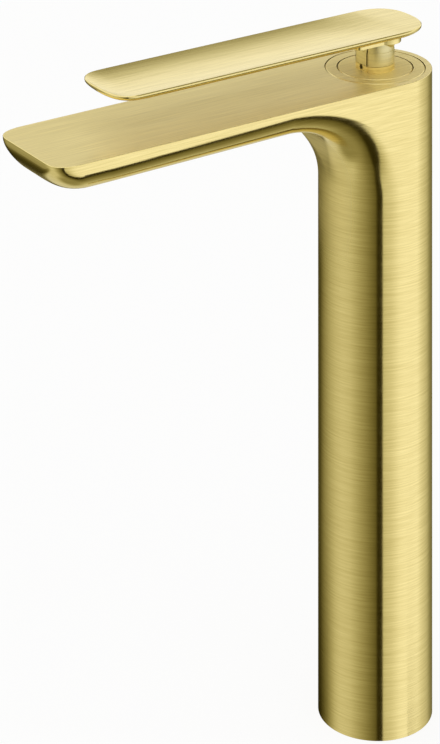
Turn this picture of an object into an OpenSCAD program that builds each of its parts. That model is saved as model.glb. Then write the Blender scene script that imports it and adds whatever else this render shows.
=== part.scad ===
// Single-lever basin mixer: a tall round column with a flat wide spout level with its top, and a thin
// plate lever on a short neck that turns for temperature and lifts for flow.
// The origin is on the column's axis at the deck. +Z is up, and the spout points along -Y.

/* [Column] */
// Diameter of the column, which is also the width of the spout
column_d = 50; // [48:0.5:56]
// Height of the column's flat top above the deck
column_h = 281.4; // [240:0.2:340]
// Wall of the hollow column
column_wall = 3.5; // [2.5:0.25:4]

/* [Spout] */
// Distance from the column's axis to the spout's tip
spout_reach = 176.7; // [160:0.1:200]
// Thickness of the spout where the inside fillet begins
spout_root_t = 11.7; // [11.4:0.1:14]
// Thickness of the spout where the nose begins
spout_tip_t = 12.5; // [12:0.1:15]
// Rounding between the spout's underside and its sides
spout_corner_r = 8; // [5:0.1:10]
// Length of the nose, which curves under from the tip's rim to the underside
nose_len = 12.8; // [9:0.1:16]
// Corner of the tip seen from above
nose_plan_r = 10; // [6:0.1:12]
// Upright edge left beside the corner of the tip
nose_edge = 0.3; // [0.2:0.1:4]
// How much rounder the nose is half way down, across the spout
nose_bulge = 9.6; // [4:0.1:12]
// How slowly the spout's upright side gives way to the nose
nose_fade = 1.4; // [1:0.1:2]
// Radius of the inside fillet between the spout's underside and the column
fillet_r = 35.6; // [26:0.2:40]
// How fast the fillet's flat section turns into the round column
fillet_fade = 2.6; // [1.5:0.1:4]

/* [Waterways] */
// Width of the channel in the spout
channel_w = 24; // [14:1:28]
// Height of the channel in the spout
channel_h = 5.4; // [4:0.1:5.6]
// Metal above the channel
channel_roof = 3.2; // [2.5:0.1:3.6]
// Diameter of the drilled ways between the cartridge and the spout
riser_d = 5.6; // [4:0.1:6]

/* [Column top] */
// Outside diameter of the cover ring
ring_d = 43.6; // [43:0.1:44.5]
// Height of the cover ring
ring_h = 14; // [13:0.1:16]
// Diameter of the cap's flat disc
cap_flat_d = 32.6; // [30:0.1:33]
// Depth of the lever's pivot below the column's top
pivot_depth = 9; // [8.5:0.1:9.5]
// Wall of the domed cap
cap_wall = 2.2; // [1.6:0.1:2.4]
// Diameter of the retaining nut's thread
nut_d = 39.9; // [39:0.1:40.4]
// Height of the retaining nut
nut_h = 8; // [7:0.1:8.6]

/* [Lever] */
// Width of the lever plate
lever_w = 35.2; // [30:0.2:40]
// Distance from the column's axis to the lever's tip
lever_reach = 143; // [120:1:150]
// Distance from the column's axis to the lever's rear end
lever_rear = 19.7; // [18:0.1:22]
// Height of the lever's flat rim above the column's top
lever_rise = 19.2; // [18:0.1:22]
// Straight edge below the lever's rim
lever_edge = 0.9; // [0.6:0.1:1.4]
// Depth of the hull-like underside below that edge
lever_hull = 4.2; // [3:0.1:5]
// Depth of the shallow dish in the lever's top
lever_dish = 0.8; // [0.3:0.1:1.2]
// Diameter of the neck under the lever
neck_d = 17.1; // [16:0.1:18]
// Distance from the column's axis to the flat on the neck
neck_flat = 7.57; // [7.2:0.01:7.9]
// Height of the collar at the neck's foot
collar_h = 2.5; // [2.2:0.1:3]
// Height of the line above which the neck is slimmer
neck_line_h = 8.4; // [7:0.1:9]
// Height of the pad and the flare under the lever, above the column's top
pad_rise = 12; // [11.5:0.1:13]
// Distance from the column's axis to the pad's front
pad_front = 15.5; // [12:0.5:17]
// Width of the flare behind the neck
flare_w = 3.2; // [1:0.1:3.6]
// Height of the flare behind the neck
flare_h = 3.6; // [2:0.1:3.6]
// Diameter of the hole for the grub screw's key
key_hole_d = 2.3; // [1.6:0.1:2.6]

/* [Cartridge] */
// Outside diameter of the cartridge housing
housing_d = 34.8; // [34:0.1:35]
// Outside diameter of the housing's neck
housing_neck_d = 24.8; // [24:0.1:25]
// Diameter of the rotor's shaft
rotor_d = 18.8; // [18:0.1:19]
// Width of the square stem
stem_w = 7; // [6:0.1:7.2]
// Diameter of the pin that the stem tilts on
pin_d = 3; // [2.5:0.1:3.2]
// Distance from the pivot down to the stem's ball
finger_len = 17; // [16.5:0.1:17.2]
// Diameter of the stem's ball
ball_d = 4.4; // [3.6:0.1:4.6]
// Thickness of the fixed ceramic disc
fixed_disc_t = 4; // [3:0.1:4.4]
// Thickness of the moving ceramic disc
moving_disc_t = 3; // [2.5:0.1:3.4]
// Diameter of the two inlet ports
inlet_port_d = 4.8; // [4:0.1:5]
// Diameter of the outlet port
outlet_port_d = 5.6; // [4.6:0.1:5.8]
// Distance between the two inlet ports
inlet_spacing = 13.6; // [13:0.1:14]

/* [Base] */
// Height of the base insert
insert_h = 14.8; // [13:0.1:20]
// Core diameter of the threaded holes for the two supply hoses
hose_core_d = 9; // [8:0.1:9.4]
// Depth of the threaded holes for the supply hoses
hose_depth = 8; // [7:0.1:9]
// Core diameter of the threaded holes for the two fixing studs
stud_core_d = 6.8; // [5:0.1:7]
// Depth of the threaded holes for the fixing studs
stud_depth = 12; // [9:0.1:12.5]
// Distance between the two fixing studs
stud_spacing = 20; // [18:0.5:22]
// Distance from the column's axis to the line of the fixing studs
stud_offset = 9.5; // [8.5:0.1:10.5]
// Outside diameter of a supply tube
tube_d = 10; // [9:0.1:10.6]
// Wall of a supply tube
tube_wall = 1.4; // [1:0.1:1.8]

/* [Aerator] */
// Distance from the column's axis to the aerator's axis
aerator_reach = 150; // [140:1:152]
// Outside diameter of the aerator housing
aerator_d = 22; // [18:0.2:24]
// Height of the aerator housing
aerator_h = 6.5; // [6:0.1:6.8]

/* [Clearances] */
// Gap around the cover ring, the outer of the two seams
ring_gap = 0.12; // [0.08:0.01:0.3]
// Gap between the domed cap and the cover ring, the inner of the two seams
cap_gap = 0.35; // [0.25:0.01:0.5]
// Radial gap of a turning or sliding fit
run_gap = 0.04; // [0.02:0.01:0.09]
// Radial gap of a fixed piece in its seat
seat_gap = 0.05; // [0.03:0.01:0.1]
// Gap between faces that move past each other
face_gap = 0.3; // [0.15:0.01:0.4]
// Gap between the moving disc and the housing's wall with the lever down
disc_gap = 0.39; // [0.3:0.01:0.6]

/* [Hidden] */

$fn = 96;
eps = 0.01;
brass = "#d8c27c";
bare_brass = "#b99b52";
steel = "#b9bcc0";
plastic = "#e9e6dd";
dark_plastic = "#3a3d42";
rubber = "#26262a";
ceramic = "#f3efe6";

column_r = column_d / 2;

// ---------- levels, from the top down ----------
pivot_z = column_h - pivot_depth;
cap_r = sqrt(pow(cap_flat_d / 2, 2) + pow(pivot_depth, 2));
ring_seat_z = column_h - ring_h;
nut_web_t = 4;
nut_top_z = ring_seat_z - 2;
nut_bottom_z = nut_top_z - nut_h;
housing_top_z = nut_top_z - nut_web_t;
neck_top_z = pivot_z - 0.5;
rotor_top_z = pivot_z + 1.5;
housing_roof = 2.2;
flange_t = 2.1;
flange_top_z = housing_top_z - housing_roof - 0.1;
flange_bottom_z = flange_top_z - flange_t;
ball_z = pivot_z - finger_len;
carrier_top_z = flange_bottom_z - face_gap;
carrier_t = 4.2;
carrier_bottom_z = carrier_top_z - carrier_t;
moving_bottom_z = carrier_bottom_z - eps * 5 - moving_disc_t;
fixed_bottom_z = moving_bottom_z - eps * 5 - fixed_disc_t;
base_spigot_h = 4.1;
base_flange_t = 4.8;
base_top_z = fixed_bottom_z - 0.1;
base_step_z = base_top_z - base_spigot_h;
base_bottom_z = base_step_z - base_flange_t;
seat_z = base_bottom_z - 0.4;

// ---------- shared cross sizes ----------
housing_wall = 1.8;
cavity_r = housing_d / 2 - housing_wall;
thread_r = nut_d / 2 + seat_gap;
insert_wall = 3;
insert_r = column_r - insert_wall;
column_bore_r = column_r - column_wall;
inlet_x = inlet_spacing / 2;
inlet_y = -4;
outlet_y = 5.5;
bulkhead_t = 12;
bulkhead_bottom_z = seat_z - bulkhead_t;
tube_socket = 4;
lift_angle = 20;
closed_shift = finger_len * sin(lift_angle) / 2;
moving_disc_r = cavity_r - closed_shift - disc_gap;
spigot_d = neck_d - 4;
spigot_h = 6;
stem_top_z = column_h + collar_h + spigot_h;

// ---------- body form ----------
angle_step = 6;
flat_angle = 3;
row_angles = concat([for (a = [-90:angle_step:-angle_step]) a], [-flat_angle, 0, flat_angle],
    [for (a = [angle_step:angle_step:90]) a]);
row_n = len(row_angles);

// A row of the skin: X and height above the underside, for a corner of rx across and ru up.
function corner_row(rx, ru) = [for (a = row_angles)
    [sign(a) * (abs(a) < 1 ? 0 : column_r - rx) + rx * sin(a), ru * (1 - cos(a))]];

fillet_y = -(column_r + fillet_r);
fillet_z = column_h - spout_root_t - fillet_r;
nose_y = -spout_reach + nose_len;

// The column's front half, as a row at one height.
function column_row(z) = [for (p = corner_row(column_r, column_r)) [p[0], -column_r + p[1], z]];

// The fillet's row at an angle of 90 at the column down to 0 at the spout.
function fillet_row(phi) =
    let (r = spout_corner_r + (column_r - spout_corner_r) * pow(sin(phi), fillet_fade))
    [for (p = corner_row(r, r))
        [p[0], fillet_y + (fillet_r + p[1]) * sin(phi), fillet_z + (fillet_r + p[1]) * cos(phi)]];

// The nose's row at an angle of 0 under the spout up to 90 at the tip's rim.
nose_power = 0.88;
function between(share, a, b) = a + (b - a) * share;
function nose_row(psi) =
    let (
        share = pow(sin(psi), 2),
        across = between(share, spout_corner_r, nose_plan_r) + nose_bulge * pow(sin(2 * psi), 2),
        up = between(share, spout_corner_r, spout_tip_t - nose_edge)
    )
    [for (p = corner_row(min(across, column_r - 0.5), up))
        let (low = p[1] / spout_tip_t)
        [p[0], nose_y - nose_len * (1 - pow(low, nose_fade)) * pow(sin(psi), nose_power),
            column_h - spout_tip_t * (1 - low) * pow(cos(psi), nose_power)]];

fillet_step = 6;
nose_step = 7.5;
front_rows = concat(
    [column_row(0), column_row(fillet_z)],
    [for (phi = [90 - fillet_step:-fillet_step:0]) fillet_row(phi)],
    [for (psi = [0:nose_step:90]) nose_row(psi)]
);

// One closed skin: front rows, then the column's rear half at the foot, the fillet's foot and the top.
module body_skin() {
    last = len(front_rows) - 1;
    rear_angles = [for (a = [angle_step:angle_step:180 - angle_step]) a];
    rear_n = len(rear_angles);
    rear_z = [0, fillet_z, column_h];
    rear = [for (z = rear_z) for (a = rear_angles) [column_r * cos(a), column_r * sin(a), z]];
    points = concat([for (r = front_rows) each r], rear, [[column_r, 0, column_h], [-column_r, 0, column_h]]);
    rear_0 = len(front_rows) * row_n;
    right_top = rear_0 + 3 * rear_n;
    function front(j, i) = j * row_n + i;
    function behind(k, m) =
        m < 0 ? (k < 2 ? front(k, row_n - 1) : right_top)
        : m >= rear_n ? (k < 2 ? front(k, 0) : right_top + 1)
        : rear_0 + k * rear_n + m;
    faces = concat(
        [for (j = [0:last - 1]) for (i = [0:row_n - 2])
            each [[front(j, i), front(j + 1, i), front(j + 1, i + 1)],
                [front(j, i), front(j + 1, i + 1), front(j, i + 1)]]],
        [for (k = [0:1]) for (m = [-1:rear_n - 1])
            [behind(k, m), behind(k + 1, m), behind(k + 1, m + 1), behind(k, m + 1)]],
        [concat([for (i = [0:row_n - 1]) front(0, i)], [for (m = [0:rear_n - 1]) behind(0, m)])],
        [concat([for (i = [row_n - 1:-1:0]) front(last, i)], [right_top + 1],
            [for (m = [rear_n - 1:-1:0]) behind(2, m)], [right_top])],
        [concat([right_top], [for (j = [1:last]) front(j, row_n - 1)])],
        [concat([right_top + 1], [for (j = [last:-1:1]) front(j, 0)])]
    );
    polyhedron(points, faces, convexity = 6);
}

// A cylinder from one point to another in the plane X = x.
module drilled_way(from, to, d, x = 0) {
    dy = to[0] - from[0];
    dz = to[1] - from[1];
    translate([x, from[0], from[1]]) rotate([atan2(-dy, dz), 0, 0]) cylinder(h = norm([dy, dz]), d = d);
}

module disc(r, z0, z1) {
    translate([0, 0, z0]) cylinder(h = z1 - z0, r = r);
}

module ring(outer, inner, z0, z1) {
    difference() {
        disc(outer, z0, z1);
        disc(inner, z0 - 1, z1 + 1);
    }
}

// The two inlets and the outlet, as holes wider by grow.
module port_holes(z0, z1, grow = 0) {
    for (s = [-1, 1]) translate([s * inlet_x, inlet_y, 0]) disc(inlet_port_d / 2 + grow, z0, z1);
    translate([0, outlet_y, 0]) disc(outlet_port_d / 2 + grow, z0, z1);
}

function spout_t(y) = spout_tip_t + (spout_root_t - spout_tip_t) * (y - nose_y) / (fillet_y - nose_y);
aerator_z = column_h - spout_t(-aerator_reach) + 0.3;
aerator_recess_top = column_h - channel_roof - 1.2;
channel_z = column_h - channel_roof - channel_h;
mix_z = bulkhead_bottom_z + 6.6;
riser_r = thread_r + 1.4;
riser_turn_z = seat_z + 14;
elbow = [-(ring_d / 2 + ring_gap + 5), ring_seat_z - 3.4];
channel_end_y = -40;

module body_casting() {
    color(brass) difference() {
        body_skin();
        disc(insert_r, -1, insert_h + 0.2);
        disc(column_bore_r, insert_h, bulkhead_bottom_z);
        disc(housing_d / 2 + 0.2, seat_z, nut_bottom_z);
        disc(thread_r, nut_bottom_z - 0.2, ring_seat_z + eps);
        disc(ring_d / 2 + ring_gap, ring_seat_z, column_h + 1);
        for (s = [-1, 1]) translate([s * inlet_x, inlet_y, 0]) {
            disc(inlet_port_d / 2, bulkhead_bottom_z, seat_z + 1);
            disc(tube_d / 2 + seat_gap, bulkhead_bottom_z - 1, bulkhead_bottom_z + tube_socket);
        }
        translate([0, outlet_y, 0]) disc(outlet_port_d / 2, mix_z, seat_z + 1);
        drilled_way([outlet_y, mix_z], [-riser_r, mix_z], riser_d);
        rotate([0, 0, -90]) riser_slot();
        drilled_way([-riser_r, riser_turn_z - 3], elbow, riser_d);
        translate([0, elbow[0], elbow[1]]) sphere(d = riser_d);
        drilled_way(elbow, [channel_end_y, channel_z + channel_h / 2], riser_d);
        translate([-channel_w / 2, -aerator_reach, channel_z])
            cube([channel_w, aerator_reach + channel_end_y, channel_h]);
        translate([0, -aerator_reach, 0]) disc(aerator_d / 2 + seat_gap, aerator_z - 10, aerator_recess_top);
    }
}

// A curved slot up the front wall, beside the cartridge.
module riser_slot() {
    slot_w = 3.8;
    slot_half_angle = 20;
    translate([0, 0, mix_z - 2]) rotate([0, 0, -slot_half_angle])
        rotate_extrude(angle = 2 * slot_half_angle)
            translate([riser_r - slot_w / 2, 0]) square([slot_w, riser_turn_z - mix_z + 2]);
}

// ---------- base ----------
seal_groove_in = 18.5;
seal_groove_out = 20.9;
seal_h = 2.2;

module base_insert() {
    color(bare_brass) difference() {
        disc(insert_r - seat_gap, 0, insert_h);
        for (s = [-1, 1]) {
            translate([s * inlet_x, inlet_y, 0]) {
                disc(hose_core_d / 2, -1, hose_depth);
                disc(tube_d / 2 - tube_wall, -1, insert_h + 1);
                disc(tube_d / 2 + seat_gap, hose_depth + 2, insert_h + 1);
            }
            translate([s * stud_spacing / 2, stud_offset, 0]) disc(stud_core_d / 2, -1, stud_depth);
        }
        ring(seal_groove_out, seal_groove_in, -1, seal_h);
    }
}

module base_seal_ring() {
    color(rubber) ring(seal_groove_out - seat_gap, seal_groove_in + seat_gap, 0, seal_h - seat_gap);
}

module supply_tube(side) {
    translate([side * inlet_x, inlet_y, 0])
        ring(tube_d / 2, tube_d / 2 - tube_wall, hose_depth + 2 + seat_gap,
            bulkhead_bottom_z + tube_socket - seat_gap);
}

module hot_supply_tube() {
    color(steel) supply_tube(-1);
}

module cold_supply_tube() {
    color(steel) supply_tube(1);
}

// ---------- cartridge ----------
seal_w = 1.5;
seal_depth = 0.5;

module cartridge_base() {
    color(plastic) difference() {
        union() {
            disc(housing_d / 2, base_bottom_z, base_step_z);
            disc(cavity_r - seat_gap, base_step_z, base_top_z);
        }
        port_holes(base_bottom_z - 1, base_top_z + 1);
        port_holes(base_bottom_z - 1, base_bottom_z + seal_depth, seal_w + seat_gap);
    }
}

module port_seals() {
    color(rubber) difference() {
        port_holes(seat_z + eps, base_bottom_z + seal_depth - eps, seal_w);
        port_holes(seat_z - 1, base_bottom_z + 1);
    }
}

module fixed_ceramic_disc() {
    color(ceramic) difference() {
        disc(cavity_r - run_gap, fixed_bottom_z, fixed_bottom_z + fixed_disc_t);
        port_holes(fixed_bottom_z - 1, fixed_bottom_z + fixed_disc_t + 1);
    }
}

// Its chamber joins the outlet to the inlets once the lever lifts.
module moving_ceramic_disc() {
    chamber_w = 14.4;
    chamber_y = [1, 10.5];
    chamber_corner = 2.4;
    color(ceramic) translate([0, 0, moving_bottom_z]) difference() {
        translate([0, closed_shift, 0]) cylinder(h = moving_disc_t, r = moving_disc_r);
        translate([0, 0, -1]) linear_extrude(moving_disc_t + 2)
            rounded_box(chamber_w, chamber_y[0], chamber_y[1], chamber_corner);
    }
}

// A rectangle centred on X = 0 with round corners, made of squares and circles.
module rounded_box(w, y0, y1, r) {
    translate([-w / 2 + r, y0]) square([w - 2 * r, y1 - y0]);
    translate([-w / 2, y0 + r]) square([w, y1 - y0 - 2 * r]);
    for (sx = [-1, 1]) for (y = [y0 + r, y1 - r]) translate([sx * (w / 2 - r), y]) circle(r = r);
}

module disc_carrier() {
    pocket_floor = 0.5;
    color(dark_plastic) difference() {
        translate([0, closed_shift, 0]) disc(moving_disc_r, carrier_bottom_z, carrier_top_z);
        disc(ball_d / 2 + face_gap, carrier_bottom_z + pocket_floor, carrier_top_z + 1);
    }
}

module cartridge_housing() {
    color(plastic) difference() {
        union() {
            disc(housing_d / 2, base_step_z + seat_gap, housing_top_z);
            disc(housing_neck_d / 2, base_step_z + seat_gap, neck_top_z);
        }
        disc(cavity_r, base_step_z - 1, housing_top_z - housing_roof);
        disc(rotor_d / 2 + run_gap, base_step_z, neck_top_z + 1);
    }
}

module cartridge_rotor() {
    slot_w = stem_w + 2 * seat_gap;
    slot_rear = 4.6;
    shaft_slot = 6.9;
    flange_slot = 8.2;
    color(dark_plastic) difference() {
        union() {
            disc(cavity_r - face_gap, flange_bottom_z, flange_top_z);
            disc(rotor_d / 2, flange_bottom_z, rotor_top_z);
        }
        translate([-slot_w / 2, -shaft_slot, flange_bottom_z - 1])
            cube([slot_w, shaft_slot + slot_rear, rotor_top_z - flange_bottom_z + 2]);
        translate([-slot_w / 2, -flange_slot, flange_bottom_z - 1])
            cube([slot_w, flange_slot, flange_t + 1]);
        across_x(pin_d / 2 + seat_gap / 2, rotor_d);
    }
}

module across_x(r, length) {
    translate([-length / 2, 0, pivot_z]) rotate([0, 90, 0]) cylinder(h = length, r = r);
}

module pivot_pin() {
    color(steel) across_x(pin_d / 2, rotor_d - 0.6);
}

module cartridge_stem() {
    block_drop = 4.5;
    color(bare_brass) difference() {
        union() {
            translate([-stem_w / 2, -stem_w / 2, pivot_z - block_drop])
                cube([stem_w, stem_w, stem_top_z - pivot_z + block_drop]);
            disc(ball_d * 0.34, ball_z, pivot_z - block_drop + eps);
            translate([0, 0, ball_z]) sphere(d = ball_d);
        }
        across_x(pin_d / 2 + run_gap, stem_w + 2);
    }
}

module temperature_limit_ring() {
    stop_w = 4;
    color("#b5432f") difference() {
        ring(housing_neck_d / 2, rotor_d / 2 + 0.2, neck_top_z + seat_gap, rotor_top_z - 0.2);
        translate([-stop_w / 2, -housing_neck_d, neck_top_z + 1]) cube([stop_w, housing_neck_d, 2]);
    }
}

module retaining_nut() {
    notch_w = 3;
    notch_depth = 2.4;
    color(bare_brass) difference() {
        disc(nut_d / 2, nut_bottom_z, nut_top_z);
        disc(housing_neck_d / 2 + 0.2, nut_bottom_z - 1, nut_top_z + 1);
        disc(housing_d / 2 + 0.2, nut_bottom_z - 1, housing_top_z + seat_gap);
        for (a = [0:60:120]) rotate([0, 0, a])
            translate([-notch_w / 2, -nut_d, nut_top_z - notch_depth])
                cube([notch_w, 2 * nut_d, notch_depth + 1]);
    }
}

// ---------- column top ----------
edge_break = 0.25;
o_ring_r = 0.65;
o_ring_z = column_h - 9.6;

module cover_ring() {
    inner_r = cap_r + cap_gap;
    color(brass) difference() {
        union() {
            disc(ring_d / 2, ring_seat_z + 2 * eps, column_h - edge_break);
            translate([0, 0, column_h - edge_break])
                cylinder(h = edge_break, r1 = ring_d / 2, r2 = ring_d / 2 - edge_break);
        }
        translate([0, 0, pivot_z]) sphere(r = inner_r);
        disc(inner_r, ring_seat_z - 1, pivot_z);
        ring(ring_d / 2 + 1, ring_d / 2 - 2 * o_ring_r, o_ring_z - o_ring_r - eps, o_ring_z + o_ring_r + eps);
    }
}

module ring_o_ring() {
    color(rubber) translate([0, 0, o_ring_z])
        rotate_extrude() translate([ring_d / 2 + ring_gap - o_ring_r - eps, 0]) circle(r = o_ring_r);
}

module neck_flat_cut(z0, z1, deeper = 0) {
    translate([-neck_d, -2 * neck_d, z0]) cube([2 * neck_d, 2 * neck_d - neck_flat + deeper, z1 - z0]);
}

cap_roof = 2.5;
skirt_angle = 5;
key_z = column_h + 1.4;

module lever_cap() {
    color(brass) difference() {
        union() {
            intersection() {
                translate([0, 0, pivot_z]) sphere(r = cap_r);
                disc(cap_r, pivot_z + cap_r * sin(skirt_angle), column_h);
            }
            disc(neck_d / 2, column_h - cap_roof, column_h + collar_h);
            disc(spigot_d / 2, column_h, column_h + collar_h + spigot_h);
        }
        intersection() {
            translate([0, 0, pivot_z]) sphere(r = cap_r - cap_wall);
            disc(cap_r, pivot_z, column_h - cap_roof);
        }
        neck_flat_cut(column_h, column_h + collar_h + eps);
        stem_socket(pivot_z, stem_top_z + 1);
        translate([0, -neck_d, key_z]) rotate([-90, 0, 0]) cylinder(h = neck_d, d = key_hole_d);
        translate([0, -screw_tip, key_z]) rotate([90, 0, 0])
            cylinder(h = screw_len + seat_gap, d = screw_d + 2 * seat_gap);
    }
}

module stem_socket(z0, z1) {
    w = stem_w + 2 * seat_gap;
    translate([-w / 2, -w / 2, z0]) cube([w, w, z1 - z0]);
}

screw_d = 4;
screw_len = 2.6;
screw_tip = stem_w / 2 + seat_gap;

module grub_screw() {
    hex_af = 2;
    color(steel) translate([0, -screw_tip, key_z]) rotate([90, 0, 0]) difference() {
        cylinder(h = screw_len, d = screw_d);
        translate([0, 0, screw_len - 1.6]) cylinder(h = 2, d = hex_af / cos(30), $fn = 6);
    }
}

// ---------- lever ----------
rim_z = column_h + lever_rise;
lever_half = lever_w / 2;
tip_len = 14;
tip_power = 3.2;
rear_power = 2.6;
tip_y = -lever_reach + tip_len;

// Stations along the lever: place, and the lever's half width there.
lever_stations = concat(
    [for (t = [2, 10, 20, 32, 46, 60, 76, 90])
        [tip_y - tip_len * pow(cos(t), 2 / tip_power), lever_half * pow(sin(t), 2 / tip_power)]],
    [for (k = [1:6]) [tip_y * (1 - k / 6), lever_half]],
    [for (t = [15, 30, 43, 55, 66, 76, 84, 88])
        [lever_rear * pow(sin(t), 2 / rear_power), lever_half * pow(cos(t), 2 / rear_power)]]
);

function smooth(t) = let (u = max(0, min(1, t))) u * u * (3 - 2 * u);
function round_in(t) = sqrt(1 - pow(1 - max(0, min(1, t)), 2));

// How deep the dish and the hull are at a place along the lever, from 0 to 1.
function dish_share(y) = round_in((y + lever_reach) / 14) * smooth((-y - 20) / 85);
function hull_share(y) = min(round_in((y + lever_reach) / 17.6), round_in((lever_rear - y) / 17.6));

across_n = 16;
function lever_loop(y, w) = concat(
    [for (i = [0:across_n]) let (x = -cos(180 * i / across_n))
        [w * x, y, rim_z - lever_dish * dish_share(y) * pow(1 - x * x, 1.5)]],
    [for (i = [0:across_n]) let (x = cos(180 * i / across_n))
        [w * x, y, rim_z - lever_edge - lever_hull * hull_share(y) * sqrt(1 - x * x)]]
);

// A closed skin over loops of a top row and an under row, with an end face at each end.
module lofted(loops) {
    n = len(loops[0]);
    end = (len(loops) - 1) * n;
    faces = concat(
        [for (j = [0:len(loops) - 2]) for (i = [0:n - 1]) let (k = (i + 1) % n)
            each [[j * n + k, j * n + i, (j + 1) * n + i], [j * n + k, (j + 1) * n + i, (j + 1) * n + k]]],
        [for (i = [0:n / 2 - 2]) [i, i + 1, n - 2 - i, n - 1 - i]],
        [for (i = [0:n / 2 - 2]) [end + i, end + n - 1 - i, end + n - 2 - i, end + i + 1]]
    );
    polyhedron([for (l = loops) each l], faces, convexity = 4);
}

neck_step = 0.2;
neck_bottom_z = column_h + collar_h + 0.15;
hub_r = neck_d / 2 - neck_step;
pad_z = column_h + pad_rise;
pad_top_z = rim_z - lever_edge - lever_hull + 1.4;

// The neck: a sleeve, and a slimmer hub above its line, both with the flat.
module neck() {
    neck_line_z = column_h + neck_line_h;
    difference() {
        disc(neck_d / 2, neck_bottom_z, neck_line_z);
        neck_flat_cut(neck_bottom_z - 1, neck_line_z + 1);
    }
    difference() {
        disc(hub_r, neck_bottom_z, pad_top_z);
        neck_flat_cut(neck_bottom_z - 1, pad_z, neck_step);
    }
}

// A pad under the plate in front of the neck, and a trumpet flare behind it.
module pad_and_flare() {
    flare_n = 8;
    flare = [for (i = [0:flare_n]) let (a = 90 * i / flare_n)
        [hub_r + flare_w * (1 - cos(a)), pad_z - flare_h * (1 - sin(a))]];
    translate([0, 0, pad_z]) linear_extrude(pad_top_z - pad_z)
        rounded_box(2 * hub_r, -pad_front, 0.5, 2.5);
    intersection() {
        rotate_extrude() polygon(concat([[0, pad_z - flare_h]], flare,
            [[hub_r + flare_w, pad_top_z], [0, pad_top_z]]));
        translate([-neck_d, 0, pad_z - flare_h - 1]) cube([2 * neck_d, 2 * neck_d, pad_top_z]);
    }
}

module lever() {
    color(brass) difference() {
        union() {
            lofted([for (s = lever_stations) lever_loop(s[0], s[1])]);
            neck();
            pad_and_flare();
        }
        disc(spigot_d / 2 + seat_gap, neck_bottom_z - 1, column_h + collar_h + spigot_h + 0.2);
    }
}

// ---------- aerator ----------
aerator_lip = 0.8;
insert_t = 2.4;
regulator_t = 1.6;
screen_t = 0.5;
aerator_bore_r = aerator_d / 2 - 1.8;
screen_z = aerator_z + aerator_lip + seat_gap;
insert_z = screen_z + screen_t + seat_gap;

module at_aerator() {
    translate([0, -aerator_reach, 0]) children();
}

module aerator_housing() {
    color(steel) at_aerator() difference() {
        disc(aerator_d / 2, aerator_z, aerator_z + aerator_h);
        disc(aerator_bore_r, aerator_z + aerator_lip, aerator_z + aerator_h + 1);
        disc(aerator_bore_r - 0.8, aerator_z - 1, aerator_z + aerator_h);
    }
}

module aerator_screen() {
    pitch = 2.4;
    color(steel) at_aerator() difference() {
        disc(aerator_bore_r - seat_gap, screen_z, screen_z + screen_t);
        for (i = [-3:3]) for (j = [-3:3])
            let (x = pitch * (i + j / 2), y = pitch * j * sin(60))
                if (norm([x, y]) < aerator_bore_r - 1.6) translate([x, y, 0])
                    disc(0.9, screen_z - 1, screen_z + screen_t + 1);
    }
}

module aerator_insert() {
    jets = 16;
    color(plastic) at_aerator() difference() {
        disc(aerator_bore_r - seat_gap, insert_z, insert_z + insert_t);
        for (a = [0:360 / jets:359]) rotate([0, 0, a]) translate([aerator_bore_r - 2, 0, 0])
            disc(0.6, insert_z - 1, insert_z + insert_t + 1);
    }
}

module flow_regulator() {
    slots = 8;
    color(dark_plastic) at_aerator() difference() {
        disc(6, insert_z + insert_t + seat_gap, insert_z + insert_t + regulator_t);
        for (a = [0:360 / slots:359]) rotate([0, 0, a]) translate([4, 0, 0])
            disc(0.9, insert_z, insert_z + insert_t + regulator_t + 1);
    }
}

module aerator_seal() {
    color(rubber) at_aerator()
        ring(aerator_d / 2 - 0.2, aerator_d / 2 - 3, aerator_z + aerator_h + eps, aerator_recess_top - eps);
}

body_casting();
base_insert();
base_seal_ring();
hot_supply_tube();
cold_supply_tube();
cartridge_base();
port_seals();
fixed_ceramic_disc();
moving_ceramic_disc();
disc_carrier();
cartridge_housing();
cartridge_rotor();
pivot_pin();
cartridge_stem();
temperature_limit_ring();
retaining_nut();
cover_ring();
ring_o_ring();
lever_cap();
lever();
grub_screw();
aerator_housing();
aerator_seal();
flow_regulator();
aerator_insert();
aerator_screen();
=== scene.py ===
import bpy, bmesh, math
from mathutils import Matrix, Vector


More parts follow.
